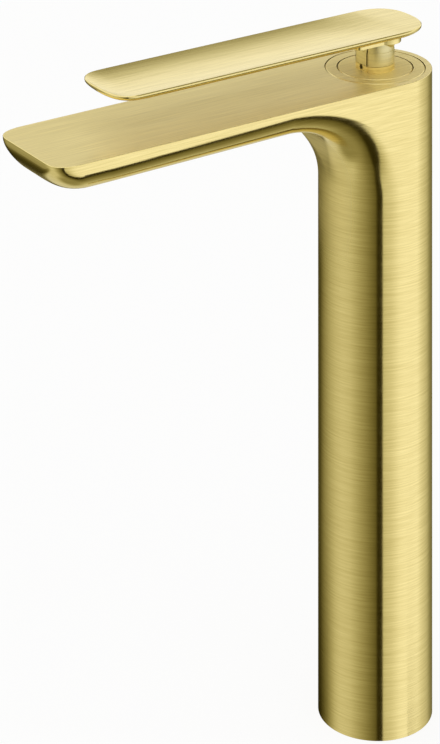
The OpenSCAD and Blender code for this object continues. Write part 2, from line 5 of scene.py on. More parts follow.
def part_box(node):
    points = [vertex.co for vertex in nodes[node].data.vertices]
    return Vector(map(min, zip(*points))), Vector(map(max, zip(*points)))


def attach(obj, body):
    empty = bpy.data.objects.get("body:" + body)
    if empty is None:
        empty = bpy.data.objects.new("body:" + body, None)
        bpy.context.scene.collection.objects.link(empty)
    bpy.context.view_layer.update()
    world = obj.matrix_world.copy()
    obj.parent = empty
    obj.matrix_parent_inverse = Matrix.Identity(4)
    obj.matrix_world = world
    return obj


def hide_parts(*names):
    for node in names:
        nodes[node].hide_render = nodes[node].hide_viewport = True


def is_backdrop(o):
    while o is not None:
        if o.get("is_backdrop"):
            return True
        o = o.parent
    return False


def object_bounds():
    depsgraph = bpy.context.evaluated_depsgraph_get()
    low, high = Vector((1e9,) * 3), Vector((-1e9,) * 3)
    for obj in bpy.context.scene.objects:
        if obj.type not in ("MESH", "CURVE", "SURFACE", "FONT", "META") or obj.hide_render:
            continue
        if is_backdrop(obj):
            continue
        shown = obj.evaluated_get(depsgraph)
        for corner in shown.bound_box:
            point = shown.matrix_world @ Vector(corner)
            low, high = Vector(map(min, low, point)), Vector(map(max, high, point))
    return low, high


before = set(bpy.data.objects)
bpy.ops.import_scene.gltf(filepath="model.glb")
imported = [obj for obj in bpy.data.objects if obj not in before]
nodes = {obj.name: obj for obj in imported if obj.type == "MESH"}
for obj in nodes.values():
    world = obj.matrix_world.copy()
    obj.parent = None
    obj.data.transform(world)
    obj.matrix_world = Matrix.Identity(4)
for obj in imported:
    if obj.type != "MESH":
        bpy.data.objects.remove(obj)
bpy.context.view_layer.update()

# ---- Camera -------------------------------------------------------------------------------------
# A long lens looks down on the faucet from its spout side. Its back is kept upright while it looks
# down, as a view camera's is, by a sheared holder, so the column's sides stay parallel.
eye = Vector((1.00362, -0.75656, 0.71704))
facing = math.radians(56.093)
down = 0.4539
lens_mm = 152.0

back = Vector((math.sin(facing), -math.cos(facing), 0))
across = Vector((math.cos(facing), math.sin(facing), 0))
up = Vector((0, 0, 1))
lookback = (back + up * down).normalized()
holder = bpy.data.objects.new("camera_holder", None)
camera_data = bpy.data.cameras.new("camera")
camera_data.lens = lens_mm
camera_data.sensor_width = 36
camera_data.clip_start, camera_data.clip_end = 0.05, 30
camera = bpy.data.objects.new("camera", camera_data)
for thing in (holder, camera):
    bpy.context.scene.collection.objects.link(thing)
camera.parent = holder
camera.matrix_parent_inverse = Matrix((
    (across.x, up.x, lookback.x, eye.x),
    (across.y, up.y, lookback.y, eye.y),
    (across.z, up.z, lookback.z, eye.z),
    (0, 0, 0, 1)))
bpy.context.scene.camera = camera

# ---- Column and spout ---------------------------------------------------------------------------
# One brass casting: a round column that turns through a wide inside curve into a flat spout, level
# with its top. It is machined flat on top and bored for the base insert, the cartridge, the ring and
# the aerator, then brushed round the column and along the spout and coated pale gold.
casting_low, casting_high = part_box("body_casting")
column_r = casting_high.x
top_z = casting_high.z
spout_reach = -casting_low.y
spout_root, spout_tip = 0.0117, 0.0125
under_corner, root_rise, tip_rise = 0.008, 0.0104, 0.0089
nose_length, nose_corner, nose_joint = 0.0128, 0.010, 0.014
nose_bulge, nose_back, nose_power, nose_fade = 0.009, 0.006, 0.90, 1.4
curve_r, curve_fade = 0.0356, 2.6
curve_y = -(column_r + curve_r)
curve_z = top_z - spout_root - curve_r
nose_y = -spout_reach + nose_length
rim_round = 0.00025
rim_z = top_z - rim_round
deep = spout_tip - rim_round
joint_y = nose_y + nose_joint


def skin_row(across_r, up_r):
    """Half widths and rises of one row of the casting's skin, from its left side to its right."""
    angles = list(range(-90, -2, 3)) + [-1, 1] + list(range(3, 91, 3))
    row = []
    for degrees in angles:
        a = math.radians(degrees)
        side = math.copysign(1, degrees)
        half = side * (column_r - across_r) + across_r * math.sin(a)
        row.append((half, up_r * (1 - math.cos(a))))
    return row


def curve_row(phi):
    """One row of the inside curve's skin, phi from upright above the column to level with the spout."""
    s, c = math.sin(phi), math.cos(phi)
    share = s ** curve_fade
    across_r = under_corner + (column_r - under_corner) * share
    up_r = root_rise + (column_r - root_rise) * share
    row = skin_row(across_r, up_r)
    return [(x, curve_y + (curve_r + u) * s, curve_z + (curve_r + u) * c) for x, u in row]


def nose_outline(depth, side_in):
    """The nose's outline at a depth under the rim, from its right side round the front to its left."""
    sunk = min(depth / deep, 1)
    front = nose_y - nose_length * (1 - sunk ** (2 / nose_power)) ** (nose_power / 2)
    start = nose_y + nose_back * sunk ** 2
    wide = nose_corner + nose_bulge * 4 * sunk ** 2 * (1 - sunk ** 2)
    half = column_r - side_in
    right = [(half, joint_y + (start - joint_y) * i / 4) for i in range(4)]
    for degrees in range(90, -1, -3):
        a = math.radians(degrees)
        forward = 1 - (1 - math.cos(a)) ** nose_fade
        right.append((half - wide * (1 - math.sin(a)), start - (start - front) * forward))
    return [(x, y, rim_z - depth) for x, y in right + [(-x, y) for x, y in reversed(right)]]


def new_piece(name, mesh):
    """A finished bmesh as a new piece."""
    bmesh.ops.recalc_face_normals(mesh, faces=mesh.faces[:])
    data = bpy.data.meshes.new(name)
    mesh.to_mesh(data)
    mesh.free()
    piece = bpy.data.objects.new(name, data)
    bpy.context.scene.collection.objects.link(piece)
    return piece


def turned_form(*profile, centre=(0, 0), steps=120):
    """A solid turned from (radius, height) points, which start and end on its axis."""
    mesh = bmesh.new()
    x, y = centre
    rings = []
    for r, z in profile:
        count = steps if r > 0 else 1
        turns = [2 * math.pi * i / steps for i in range(count)]
        rings.append([mesh.verts.new((x + r * math.cos(t), y + r * math.sin(t), z)) for t in turns])
    for low, high in zip(rings, rings[1:]):
        for i in range(steps):
            j = (i + 1) % steps
            corners = [low[i % len(low)], low[j % len(low)], high[j % len(high)], high[i % len(high)]]
            mesh.faces.new(list(dict.fromkeys(corners)))
    return new_piece("turned_form", mesh)


def combine(piece, operation, forms):
    """Cuts the forms out of a piece or joins them to it, and uses them up."""
    for form in forms:
        step = piece.modifiers.new("combine", "BOOLEAN")
        step.operation, step.solver, step.object = operation, "EXACT", form
        bpy.context.view_layer.update()
        solid = piece.evaluated_get(bpy.context.evaluated_depsgraph_get())
        piece.data = bpy.data.meshes.new_from_object(solid)
        piece.modifiers.clear()
        bpy.data.objects.remove(form)


def smooth_with_edges(piece, rounding=0.0, rounded=None, sharp=35):
    """Rounds the chosen sharp edges and shades the rest smooth, true to its flat faces."""
    mesh = bmesh.new()
    mesh.from_mesh(piece.data)
    bmesh.ops.dissolve_degenerate(mesh, dist=1e-7, edges=mesh.edges[:])
    limit = math.radians(sharp)
    if rounded:
        chosen = [edge for edge in mesh.edges if edge.calc_face_angle(0) > limit and rounded(edge)]
        bmesh.ops.bevel(mesh, geom=chosen, offset=rounding, segments=3, profile=0.5, affect="EDGES",
                        clamp_overlap=True)
    for face in mesh.faces:
        face.smooth = True
    for edge in mesh.edges:
        edge.smooth = edge.calc_face_angle(0) < limit
    mesh.to_mesh(piece.data)
    mesh.free()
    shading = piece.modifiers.new("shading", "WEIGHTED_NORMAL")
    shading.keep_sharp = True
    shading.weight = 90


def rounded_rim(mesh, outline, rounding):
    """Rounds the rim over from an outline that runs anticlockwise, and gives the rim's inner edge."""
    count = len(outline)
    outward = []
    for i in range(count):
        along = outline[(i + 1) % count].co - outline[i - 1].co
        outward.append(Vector((along.y, -along.x, 0)).normalized())
    loops = [outline]
    for turn in (22.5, 45, 67.5, 90):
        inward = rounding * (1 - math.cos(math.radians(turn)))
        rise = Vector((0, 0, rounding * math.sin(math.radians(turn))))
        loops.append([mesh.verts.new(v.co - n * inward + rise) for v, n in zip(outline, outward)])
    for low, high in zip(loops, loops[1:]):
        for i in range(count):
            j = (i + 1) % count
            mesh.faces.new((low[i], low[j], high[j], high[i]))
    return loops[-1]


def column_and_spout():
    """The casting's outside: rows up the column, round the curve and along the spout, then the nose."""
    mesh = bmesh.new()

    def points(places):
        return [mesh.verts.new(place) for place in places]

    def bridge(low, high):
        for i in range(len(low) - 1):
            mesh.faces.new((low[i], low[i + 1], high[i + 1], high[i]))

    foot = [0, 0.05, 0.1, 0.15, 0.2, curve_z]
    rows = [points((x, -column_r + u, z) for x, u in skin_row(column_r, column_r)) for z in foot]
    rows += [points(curve_row(math.radians(d))) for d in range(87, -1, -3)]
    rows.append(points((x, joint_y, rim_z - deep + u) for x, u in skin_row(under_corner, tip_rise)))
    for low, high in zip(rows, rows[1:]):
        bridge(low, high)

    # The nose's outlines start and end on the last row, and above it on the spout's flat sides.
    joint = rows[-1]
    middle = len(joint) // 2
    outlines = []
    for i in range(middle, len(joint)):
        x, y, z = joint[i].co
        outline = points(nose_outline(rim_z - z, column_r - x)[1:-1])
        outlines.append([joint[i]] + outline + [joint[len(joint) - 1 - i]])
    strip = deep - tip_rise
    for i in range(5, -1, -1):
        outlines.append(points(nose_outline(strip * i / 6, 0)))
    for low, high in zip(outlines, outlines[1:]):
        bridge(low, high)
    mesh.faces.new(outlines[0])

    half_turn = [math.radians(d) for d in range(3, 180, 3)]
    behind = [points((column_r * math.cos(t), column_r * math.sin(t), z) for t in half_turn)
              for z in foot + [rim_z]]
    corners = points((side * column_r, 0, rim_z) for side in (1, -1))
    ends = [(row[-1], row[0]) for row in rows[:len(foot)]] + [tuple(corners)]
    backs = [[right] + line + [left] for (right, left), line in zip(ends, behind)]
    for low, high in zip(backs, backs[1:]):
        bridge(low, high)
    mesh.faces.new(rows[0][::-1] + behind[0][::-1])
    on_strip = outlines[-6:]
    for corner, at_row, at_outline in ((corners[0], -1, 0), (corners[1], 0, -1)):
        edge = [row[at_row] for row in rows[len(foot) - 1:]] + [line[at_outline] for line in on_strip]
        mesh.faces.new([corner] + edge)
    outline = outlines[-1][::-1] + [corners[0]] + behind[-1] + [corners[1]]
    mesh.faces.new(rounded_rim(mesh, outline, rim_round))
    return new_piece("column_and_spout", mesh)


def radius_of(node):
    """The radius of a round node."""
    low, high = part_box(node)
    return (high.x - low.x) / 2


casting = column_and_spout()
beyond = 0.002
seat_gap, ring_gap, cartridge_gap = 0.00005, 0.00038, 0.0002
wall, bulkhead = 0.0035, 0.004
base_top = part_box("base_insert")[1].z
tube_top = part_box("hot_supply_tube")[1].z
bulkhead_z = tube_top - bulkhead
cartridge_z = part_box("port_seals")[0].z
nut_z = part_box("retaining_nut")[0].z
ring_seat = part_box("cover_ring")[0].z
aerator_low, aerator_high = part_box("aerator_housing")
aerator_y = (aerator_low.y + aerator_high.y) / 2
aerator_foot = aerator_low.z - 5 * beyond
seal_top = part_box("aerator_seal")[1].z
insert_r = radius_of("base_insert") + seat_gap
cartridge_r = radius_of("cartridge_housing") + cartridge_gap
thread_r = radius_of("retaining_nut") + seat_gap
ring_r = radius_of("cover_ring") + ring_gap
aerator_r = radius_of("aerator_housing") + seat_gap
tube_r = radius_of("hot_supply_tube") + seat_gap
bores = [
    turned_form((0, -beyond), (insert_r, -beyond), (insert_r, base_top), (column_r - wall, base_top),
                (column_r - wall, bulkhead_z), (0, bulkhead_z)),
    turned_form((0, cartridge_z), (cartridge_r, cartridge_z), (cartridge_r, nut_z), (thread_r, nut_z),
                (thread_r, ring_seat), (ring_r, ring_seat), (ring_r, top_z + beyond), (0, top_z + beyond)),
    turned_form((0, aerator_foot), (aerator_r, aerator_foot), (aerator_r, seal_top), (0, seal_top),
                centre=(0, aerator_y)),
]
for tube in ("hot_supply_tube", "cold_supply_tube"):
    low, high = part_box(tube)
    bores.append(turned_form((0, bulkhead_z - beyond), (tube_r, bulkhead_z - beyond), (tube_r, tube_top),
                             (0, tube_top), centre=((low.x + high.x) / 2, (low.y + high.y) / 2)))
combine(casting, "DIFFERENCE", bores)


def on_open_bore(edge):
    """Whether an edge lies round a bore's mouth: the ring's, the aerator's or those in the foot."""
    centre = (edge.verts[0].co + edge.verts[1].co) / 2
    at_ring = centre.z > top_z - 1e-6 and centre.xy.length < column_r - 0.002
    from_aerator = (centre.xy - Vector((0, aerator_y))).length
    at_aerator = centre.z < aerator_low.z + 0.002 and from_aerator < aerator_r + 0.001
    return at_ring or centre.z < 1e-6 or at_aerator


bore_edge = 0.00005
smooth_with_edges(casting, bore_edge, on_open_bore)


def brushed_lines():
    """Streaks, level on upright faces and lengthwise on flat tops, their sheen and what is flat."""
    group = bpy.data.node_groups.new("brushed_lines", "ShaderNodeTree")
    group.interface.new_socket(name="Fineness", in_out="INPUT", socket_type="NodeSocketFloat")
    for name in ("Streaks", "Sheen", "Flat"):
        group.interface.new_socket(name=name, in_out="OUTPUT", socket_type="NodeSocketFloat")
    new, link = group.nodes.new, group.links.new
    inlet, outlet = new("NodeGroupInput"), new("NodeGroupOutput")
    place = new("ShaderNodeTexCoord")
    split = new("ShaderNodeSeparateXYZ")
    link(place.outputs["Normal"], split.inputs[0])
    level = new("ShaderNodeMath")
    level.operation = "ABSOLUTE"
    link(split.outputs["Z"], level.inputs[0])
    flat = new("ShaderNodeMapRange")
    flat.interpolation_type = "SMOOTHSTEP"
    flat.inputs["From Min"].default_value = 0.8
    flat.inputs["From Max"].default_value = 0.95
    link(level.outputs[0], flat.inputs["Value"])

    def streaks(stretch, scale, detail):
        spread = new("ShaderNodeVectorMath")
        spread.operation = "MULTIPLY"
        spread.inputs[1].default_value = stretch
        link(place.outputs["Object"], spread.inputs[0])
        fine = new("ShaderNodeMath")
        fine.operation = "MULTIPLY"
        fine.inputs[1].default_value = scale
        link(inlet.outputs["Fineness"], fine.inputs[0])
        noise = new("ShaderNodeTexNoise")
        noise.inputs["Detail"].default_value = detail
        noise.inputs["Roughness"].default_value = 0.65
        link(fine.outputs[0], noise.inputs["Scale"])
        link(spread.outputs[0], noise.inputs["Vector"])
        return noise.outputs[0]

    def by_face(upright, on_top):
        mix = new("ShaderNodeMix")
        link(flat.outputs[0], mix.inputs["Factor"])
        link(upright, mix.inputs["A"])
        link(on_top, mix.inputs["B"])
        return mix.outputs["Result"]

    link(by_face(streaks((0.03, 0.03, 1), 1, 3), streaks((1, 0.02, 1), 1, 3)), outlet.inputs["Streaks"])
    link(by_face(streaks((0.12, 0.12, 1), 0.16, 2), streaks((1, 0.05, 1), 0.16, 2)), outlet.inputs["Sheen"])
    link(flat.outputs[0], outlet.inputs["Flat"])
    return group


brushing = brushed_lines()
brushing_fineness = 1500.0
deep_gold, pale_gold = (0.82, 0.68, 0.28, 1), (1.0, 0.85, 0.39, 1)


def brushed_gold(name, sheen, top_sheen, top_metal, tones=(deep_gold, pale_gold)):
    """Brushed gold with its own sheen on upright faces and on tops, and a metal share for the tops."""
    material = bpy.data.materials.new(name)
    material.use_nodes = True
    tree = material.node_tree
    new, link = tree.nodes.new, tree.links.new
    metal = tree.nodes["Principled BSDF"]
    lines = new("ShaderNodeGroup")
    lines.node_tree = brushing
    lines.inputs["Fineness"].default_value = brushing_fineness

    def between(mask, ends):
        node = new("ShaderNodeMapRange")
        node.inputs["To Min"].default_value, node.inputs["To Max"].default_value = ends
        link(lines.outputs[mask], node.inputs["Value"])
        return node.outputs[0]

    tone = new("ShaderNodeValToRGB")
    for element, place, colour in zip(tone.color_ramp.elements, (0.3, 0.7), tones):
        element.position, element.color = place, colour
    link(lines.outputs["Streaks"], tone.inputs[0])
    link(tone.outputs[0], metal.inputs["Base Color"])
    rough = new("ShaderNodeMix")
    link(lines.outputs["Flat"], rough.inputs["Factor"])
    link(between("Sheen", sheen), rough.inputs["A"])
    link(between("Sheen", top_sheen), rough.inputs["B"])
    link(rough.outputs["Result"], metal.inputs["Roughness"])
    link(between("Flat", (1.0, top_metal)), metal.inputs["Metallic"])
    bump = new("ShaderNodeBump")
    bump.inputs["Strength"].default_value = 0.25
    bump.inputs["Distance"].default_value = 0.00005
    link(lines.outputs["Streaks"], bump.inputs["Height"])
    link(bump.outputs[0], metal.inputs["Normal"])
    return material


def soften_inside(material):
    """Gives the inside of the curve a softer sheen, so that it mirrors less of the gold round it."""
    tree = material.node_tree
    new, link = tree.nodes.new, tree.links.new
    place, axes = new("ShaderNodeTexCoord"), new("ShaderNodeSeparateXYZ")
    link(place.outputs["Object"], axes.inputs[0])

    def calc(operation, first, second=0.0):
        node = new("ShaderNodeMath")
        node.operation = operation
        link(first, node.inputs[0])
        if isinstance(second, float):
            node.inputs[1].default_value = second
        else:
            link(second, node.inputs[1])
        return node.outputs[0]

    def fade(value, at_none, at_full):
        node = new("ShaderNodeMapRange")
        node.interpolation_type = "SMOOTHSTEP"
        node.inputs["From Min"].default_value, node.inputs["From Max"].default_value = at_none, at_full
        link(value, node.inputs["Value"])
        return node.outputs[0]

    inside = fade(calc("ABSOLUTE", axes.outputs["X"]), 0.016, 0.009)
    for axis, at_none, at_full in (("Z", 0.185, 0.225), ("Z", 0.277, 0.271), ("Y", -0.008, -0.018)):
        inside = calc("MULTIPLY", inside, fade(axes.outputs[axis], at_none, at_full))
    roughness = tree.nodes["Principled BSDF"].inputs["Roughness"]
    link(calc("ADD", roughness.links[0].from_socket, calc("MULTIPLY", inside, 0.26)), roughness)


casting_gold = brushed_gold("casting_gold", (0.08, 0.16), (0.33, 0.43), 0.7)
soften_inside(casting_gold)
casting.data.materials.clear()
casting.data.materials.append(casting_gold)
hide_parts("body_casting")
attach(casting, "body")

# ---- Base insert and supply tubes ---------------------------------------------------------------
# A turned brass plug closes the column's foot, with two holes for the hoses and two for the studs,
# and a rubber ring seals it to the deck. Two drawn steel tubes carry the water up to the cartridge.


def worn_grain(name, scale, stretch):
    """Fine mottling, stretched along one axis for drawn or turned metal."""
    group = bpy.data.node_groups.new(name, "ShaderNodeTree")
    group.interface.new_socket(name="Grain", in_out="OUTPUT", socket_type="NodeSocketFloat")
    new, link = group.nodes.new, group.links.new
    outlet = new("NodeGroupOutput")
    place = new("ShaderNodeTexCoord")
    spread = new("ShaderNodeVectorMath")
    spread.operation = "MULTIPLY"
    spread.inputs[1].default_value = stretch
    noise = new("ShaderNodeTexNoise")
    noise.inputs["Scale"].default_value = scale
    noise.inputs["Detail"].default_value = 4
    link(place.outputs["Object"], spread.inputs[0])
    link(spread.outputs[0], noise.inputs["Vector"])
    link(noise.outputs[0], outlet.inputs["Grain"])
    return group


turning_marks = worn_grain("turning_marks", 700, (0.05, 0.05, 1))
drawing_marks = worn_grain("drawing_marks", 900, (1, 1, 0.03))
moulded_grain = worn_grain("moulded_grain", 1400, (1, 1, 1))


def finish(name, grain, dark, light, roughness, metallic=0.0, relief=0.00002):
    """A material whose tone, gloss and relief vary with a grain between two colours."""
    material = bpy.data.materials.new(name)
    material.use_nodes = True
    tree = material.node_tree
    new, link = tree.nodes.new, tree.links.new
    surface = tree.nodes["Principled BSDF"]
    surface.inputs["Metallic"].default_value = metallic
    marks = new("ShaderNodeGroup")
    marks.node_tree = grain
    tone = new("ShaderNodeValToRGB")
    tone.color_ramp.elements[0].position, tone.color_ramp.elements[1].position = 0.3, 0.7
    tone.color_ramp.elements[0].color = (*dark, 1)
    tone.color_ramp.elements[1].color = (*light, 1)
    link(marks.outputs["Grain"], tone.inputs[0])
    link(tone.outputs[0], surface.inputs["Base Color"])
    rough = new("ShaderNodeMapRange")
    rough.inputs["To Min"].default_value, rough.inputs["To Max"].default_value = roughness
    link(marks.outputs["Grain"], rough.inputs["Value"])
    link(rough.outputs[0], surface.inputs["Roughness"])
    bump = new("ShaderNodeBump")
    bump.inputs["Strength"].default_value = 0.4
    bump.inputs["Distance"].default_value = relief
    link(marks.outputs["Grain"], bump.inputs["Height"])
    link(bump.outputs[0], surface.inputs["Normal"])
    return material


def dress(material, *names):
    """Gives nodes that keep their own shape a material."""
    for name in names:
        nodes[name].data.materials.clear()
        nodes[name].data.materials.append(material)


brass = finish("turned_brass", turning_marks, (0.50, 0.33, 0.13), (0.64, 0.45, 0.19), (0.22, 0.42), 1.0)
drawn_steel = finish("drawn_steel", drawing_marks, (0.42, 0.42, 0.41), (0.60, 0.60, 0.58), (0.2, 0.38), 1.0)
rubber = finish("seal_rubber", moulded_grain, (0.012, 0.012, 0.013), (0.022, 0.022, 0.023), (0.5, 0.7))
dress(brass, "base_insert", "retaining_nut", "cartridge_stem")
dress(drawn_steel, "hot_supply_tube", "cold_supply_tube", "pivot_pin", "grub_screw")
dress(rubber, "base_seal_ring", "port_seals", "ring_o_ring", "aerator_seal")

# ---- Cartridge ----------------------------------------------------------------------------------
# The ceramic disc cartridge in the column's head: a pale moulded base and housing, two lapped ceramic
# discs, a dark carrier and rotor, the brass stem on its steel pin and the red temperature stop.
acetal = finish("pale_plastic", moulded_grain, (0.70, 0.68, 0.60), (0.80, 0.78, 0.70), (0.35, 0.5))
dark_nylon = finish("dark_plastic", moulded_grain, (0.03, 0.032, 0.036), (0.05, 0.053, 0.058), (0.4, 0.55))
red_nylon = finish("red_plastic", moulded_grain, (0.40, 0.045, 0.025), (0.50, 0.065, 0.035), (0.35, 0.5))
ceramic = finish("disc_ceramic", moulded_grain, (0.76, 0.74, 0.68), (0.84, 0.82, 0.76), (0.06, 0.14),
                 relief=0.000004)
dress(acetal, "cartridge_base", "cartridge_housing", "aerator_insert")
dress(dark_nylon, "disc_carrier", "cartridge_rotor", "flow_regulator")
dress(red_nylon, "temperature_limit_ring")
dress(ceramic, "fixed_ceramic_disc", "moving_ceramic_disc")

# ---- Cover ring and lever cap -------------------------------------------------------------------
# A turned brass ring hides the cartridge's nut and lies level with the column's top, with a thin slot on
# either side of it. The domed cap turns and tilts in it, and its short collar carries the lever and
# holds the grub screw. Both are coated gold like the casting.
ring_in, slot_in = 0.0167, 0.0002
ring = nodes["cover_ring"].copy()
ring.data = ring.data.copy()
ring.name = "cover_ring_open"
bpy.context.scene.collection.objects.link(ring)
for vertex in ring.data.vertices:
    if abs(vertex.co.xy.length - ring_in) < 0.0001:
        vertex.co.xy *= (ring_in + slot_in) / ring_in
smooth_with_edges(ring, bore_edge, lambda edge: min(v.co.z for v in edge.verts) > top_z - 1e-5)
ring.data.materials.clear()
ring.data.materials.append(brushed_gold("ring_gold", (0.3, 0.4), (0.42, 0.52), 0.7))
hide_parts("cover_ring")
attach(ring, "body")
dress(brushed_gold("cap_gold", (0.35, 0.45), (0.5, 0.6), 0.7), "lever_cap")

# ---- Lever --------------------------------------------------------------------------------------
# A thin cast plate with a chamfered rim, a hull-like underside and a shallow dish on top, brushed along
# its length and coated gold. Its neck has a flat between two thin grooves at the front, a pad before it
# and a flare behind it under the plate, and slips over the cap's spigot.
lever_low, lever_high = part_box("lever")
plate_reach, plate_rear = -lever_low.y, lever_high.y
plate_half, plate_z = lever_high.x, lever_high.z
plate_edge, plate_hull, chamfer = 0.0009, 0.0042, 0.00035
tip_len, tip_power, rear_power = 0.014, 3.2, 2.6
hull_run = 0.0176
plate_dish, dish_end, dish_run = 0.0011, 0.008, 0.03
past = 0.001
neck_r, neck_flat, neck_step, neck_wall = 0.00855, 0.00757, 0.0002, 0.00195
collar_h, pad_h, pad_sunk = 0.0084, 0.012, 0.0014
neck_foot = lever_low.z
neck_line = top_z + collar_h
hub_r = neck_r - neck_step
pad_z = top_z + pad_h
pad_top = plate_z - plate_edge - plate_hull + pad_sunk
pad_front, pad_back, pad_corner = 0.0155, 0.0005, 0.0025
flare_w, flare_h, flare_root, flare_sunk = 0.0032, 0.0036, 0.0005, 0.0001
groove_in, groove_out = 0.0037, 0.0043
groove_front, groove_back = -0.0095, -0.0060


def eased(t):
    """From 0 to 1 with a soft start and end."""
    t = max(0, min(1, t))
    return t * t * (3 - 2 * t)


def rounded_in(t):
    """From 0 to 1 along a quarter circle that starts steeply."""
    return math.sqrt(max(0, 1 - (1 - max(0, min(1, t))) ** 2))


def plate_outline():
    """The plate's half outline as (half width, place) from its tip to its rear."""
    tip_y = tip_len - plate_reach
    line = []
    for degrees in (0, 2, 5, 9, 14, 20, 26, 32, 39, 46, 53, 60, 68, 76, 83, 90):
        s, c = math.sin(math.radians(degrees)), max(0, math.cos(math.radians(degrees)))
        line.append((plate_half * s ** (2 / tip_power), tip_y - tip_len * c ** (2 / tip_power)))
    line += [(plate_half, tip_y * (1 - k / 14)) for k in range(1, 14)]
    for degrees in (0, 4, 9, 15, 22, 30, 38, 46, 54, 61, 68, 74, 79, 84, 88, 90):
        s, c = math.sin(math.radians(degrees)), max(0, math.cos(math.radians(degrees)))
        line.append((plate_half * c ** (2 / rear_power), plate_rear * s ** (2 / rear_power)))
    return line


def plate():
    """The lever's plate: one ring of points for each place on its outline, from tip to rear."""
    line = plate_outline()
    count = 32
    mesh = bmesh.new()
    rings = []
    for j, (half, y) in enumerate(line):
        before = line[j - 1] if j else (-line[1][0], line[1][1])
        after = line[j + 1] if j < len(line) - 1 else (-line[-2][0], line[-2][1])
        run = math.hypot(after[0] - before[0], after[1] - before[1])
        inset_half = max(0, half - chamfer * (after[1] - before[1]) / run)
        inset_y = y + chamfer * (after[0] - before[0]) / run
        from_tip, from_rear = y + plate_reach, plate_rear - y
        dished = plate_dish * rounded_in(from_tip / tip_len) * eased((dish_end - y) / dish_run)
        hull = plate_hull * min(rounded_in(from_tip / hull_run), rounded_in(from_rear / hull_run))
        across_top = [-math.cos(math.pi * i / count) for i in range(count + 1)]
        ring = [(inset_half * x, inset_y, plate_z - dished * (1 - x * x)) for x in across_top]
        ring += [(half, y, plate_z - chamfer)]
        for x in across_top:
            ring.append((-half * x, y, plate_z - plate_edge - hull * math.sqrt(max(0, 1 - x * x))))
        ring += [(-half, y, plate_z - chamfer)]
        rings.append([mesh.verts.new(p) for p in ring])
    for low, high in zip(rings, rings[1:]):
        for i in range(len(low)):
            j = (i + 1) % len(low)
            mesh.faces.new((low[i], low[j], high[j], high[i]))
    bmesh.ops.remove_doubles(mesh, verts=mesh.verts[:], dist=1e-7)
    return new_piece("lever_plate", mesh)


def block(low, high, corner=0.0):
    """A block between two corners, its upright edges rounded at the low y end."""
    mesh = bmesh.new()
    outline = [(high[0], high[1]), (low[0], high[1])]
    for side, start in ((-1, 180), (1, 270)):
        centre_x = low[0] + corner if side < 0 else high[0] - corner
        for step in range(9 if corner else 1):
            a = math.radians(start + step * 90 / 8)
            outline.append((centre_x + corner * math.cos(a), low[1] + corner + corner * math.sin(a)))
    rings = [[mesh.verts.new((x, y, z)) for x, y in outline] for z in (low[2], high[2])]
    for i in range(len(outline)):
        j = (i + 1) % len(outline)
        mesh.faces.new((rings[0][i], rings[0][j], rings[1][j], rings[1][i]))
    mesh.faces.new(rings[0][::-1])
    mesh.faces.new(rings[1])
    return new_piece("block", mesh)


def trumpet_flare():
    """The flare round the neck's top, which fades out beside the pad and is full behind the neck."""
    steps = 120
    mesh = bmesh.new()
    turns = [2 * math.pi * i / steps for i in range(steps)]
    rings = [[mesh.verts.new((0, 0, pad_z - flare_h - flare_root))]]
    angles = [math.radians(90 * k / 12) for k in range(13)]
    stages = [(1 - math.cos(a), 1 - math.sin(a)) for a in angles] + [(1, None)]
    for outward, drop in stages:
        ring = []
        for t in turns:
            share = eased((math.sin(t) + 0.3) / 0.9)
            out = hub_r - flare_sunk + flare_w * share * outward
            z = pad_top if drop is None else pad_z - flare_h * share * drop
            ring.append(mesh.verts.new((out * math.cos(t), out * math.sin(t), z)))
        rings.append(ring)
    rings.append([mesh.verts.new((0, 0, pad_top))])
    for low, high in zip(rings, rings[1:]):
        for i in range(steps):
            j = (i + 1) % steps
            corners = [low[i % len(low)], low[j % len(low)], high[j % len(high)], high[i % len(high)]]
            mesh.faces.new(list(dict.fromkeys(corners)))
    return new_piece("flare", mesh)


def lever_with_neck():
    """The plate with its neck, flat, flare and pad, the two grooves and the bore for the cap's spigot."""
    lever = plate()
    sleeve = turned_form((0, neck_foot), (neck_r, neck_foot), (neck_r, neck_line), (0, neck_line))
    hub = turned_form((0, neck_foot), (hub_r, neck_foot), (hub_r, pad_top), (0, pad_top))
    front = (-0.02, -0.03, neck_foot - past)
    combine(sleeve, "DIFFERENCE", [block(front, (0.02, -neck_flat, neck_line + past))])
    combine(hub, "DIFFERENCE", [block(front, (0.02, neck_step - neck_flat, pad_z))])
    pad = block((-hub_r, -pad_front, pad_z), (hub_r, pad_back, pad_top), pad_corner)
    combine(lever, "UNION", [sleeve, hub, trumpet_flare(), pad])
    combine(lever, "DIFFERENCE", [block((left, groove_front, neck_foot - past), (right, groove_back, pad_z))
                                  for left, right in ((groove_in, groove_out), (-groove_out, -groove_in))])
    spigot_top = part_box("lever_cap")[1].z
    bore_r = neck_r - neck_wall
    combine(lever, "DIFFERENCE", [turned_form((0, neck_foot - past), (bore_r, neck_foot - past),
                                              (bore_r, spigot_top), (0, spigot_top))])
    return lever


lever = lever_with_neck()
smooth_with_edges(lever)
lever_gold = brushed_gold("lever_gold", (0.16, 0.26), (0.14, 0.22), 0.96)
# The neck's tones are duller and darker than the plate's: painted shade, which offsets the gold that it
# mirrors from the cap and the plate.
neck_shaded_tones = (0.72, 0.65, 0.35, 1), (0.86, 0.77, 0.43, 1)
neck_shaded_gold = brushed_gold("neck_shaded_gold", (0.3, 0.4), (0.4, 0.5), 1.0, neck_shaded_tones)
lever.data.materials.clear()
for material in (lever_gold, neck_shaded_gold):
    lever.data.materials.append(material)
# Faces below the pad's foot, on the neck, take the darker gold of painted shade.
for face in lever.data.polygons:
    face_top = max(lever.data.vertices[i].co.z for i in face.vertices)
    face.material_index = 1 if face_top < pad_z + 1e-5 else 0
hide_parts("lever")
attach(lever, "lever_body")

